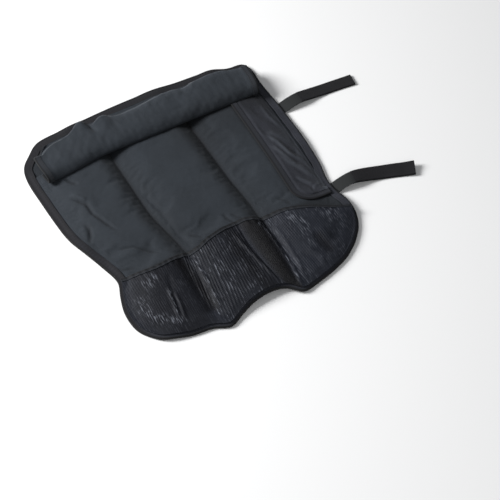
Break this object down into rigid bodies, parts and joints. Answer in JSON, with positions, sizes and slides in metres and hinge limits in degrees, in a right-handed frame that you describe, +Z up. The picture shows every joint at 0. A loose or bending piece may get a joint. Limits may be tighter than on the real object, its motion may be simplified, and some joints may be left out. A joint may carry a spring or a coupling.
{
  "type": "chef knife roll, laid open",
  "caption": "Soft roll for kitchen knives, laid open: padded knife channels, gathered mesh pockets, rolled top flap, side flap and two hook-tape straps.",
  "frame": {"origin": "middle of the underside, on the surface that the open roll lies on", "axes": "+Z up out of the open inside, +X across the knife channels towards the straps, +Y along the knives towards the top flap"},
  "size_m": [0.6015, 0.507, 0.0332],
  "materials": {
    "leatherette": "smooth black coated fabric, semi-gloss",
    "lining_nylon": "matte dark grey woven nylon",
    "padded_nylon": "padded slate grey woven nylon with a faint sheen",
    "mesh_net": "fine dark knitted net over nylon, gathered",
    "binding_tape": "folded brownish dark grey grosgrain tape",
    "webbing": "grey green woven webbing",
    "hook_tape": "matte near-black hook tape"
  },
  "bodies": {
    "root": {"outer_cover": "leatherette", "inner_lining": "lining_nylon", "edge_binding": "binding_tape", "channel_panel": "padded_nylon", "mesh_pockets": "mesh_net", "mesh_hem": "binding_tape", "top_flap": "padded_nylon", "top_flap_band_left": "binding_tape", "top_flap_band_right": "binding_tape", "side_flap": "padded_nylon", "side_flap_binding": "binding_tape", "strap_upper": "webbing", "hook_tape_upper": "hook_tape", "strap_lower": "webbing", "hook_tape_lower": "hook_tape"}
  },
  "joints": []
}
